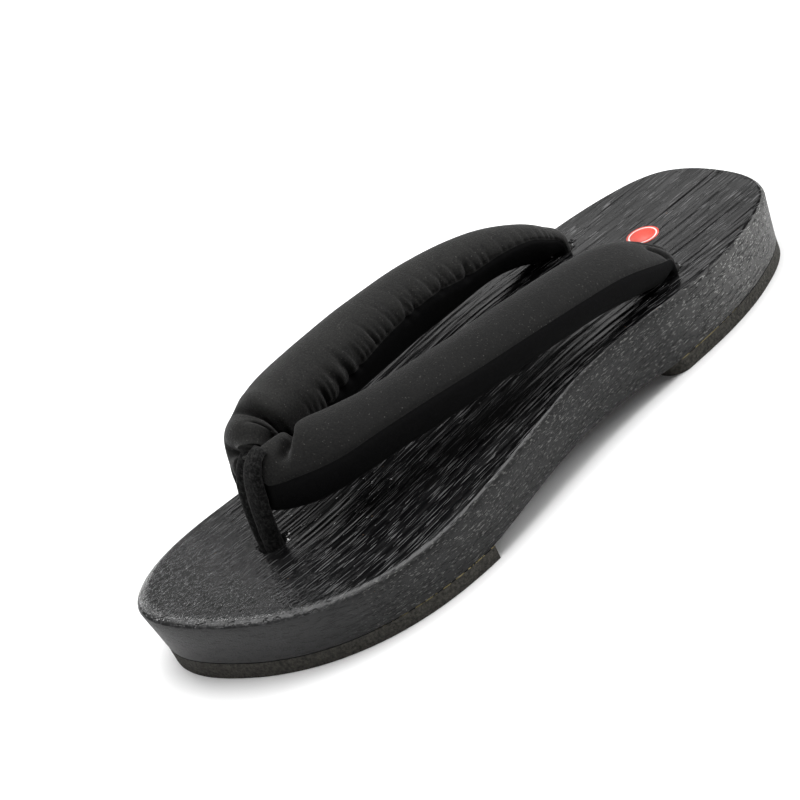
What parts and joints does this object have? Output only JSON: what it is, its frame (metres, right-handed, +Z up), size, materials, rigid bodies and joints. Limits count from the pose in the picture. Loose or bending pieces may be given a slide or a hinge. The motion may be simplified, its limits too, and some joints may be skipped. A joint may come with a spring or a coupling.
{
  "type": "geta sandal",
  "caption": "Low foot-shaped wooden geta sandal for the left foot, black lacquered, with rubber walking pads and a stuffed cloth thong strap.",
  "frame": {"origin": "on the floor, under the middle of the sandal's bounding box", "axes": "+Z up, -Y towards the toe, +Y towards the heel, +X towards the outer side of the left foot"},
  "size_m": [0.0911, 0.25, 0.0596],
  "materials": {
    "black_lacquered_wood": "brushed lengthwise grain under a thin worn black lacquer",
    "foam_rubber": "granular matte foam rubber",
    "strap_cloth": "matte fine-weave charcoal cloth over stuffing, black velvet lining",
    "black_felt": "fuzzy felt"
  },
  "bodies": {
    "root": {"wood_base": "black_lacquered_wood", "forefoot_pad": "foam_rubber", "heel_pad": "foam_rubber", "strap_upper": "strap_cloth", "toe_thong": "black_felt"}
  },
  "joints": []
}
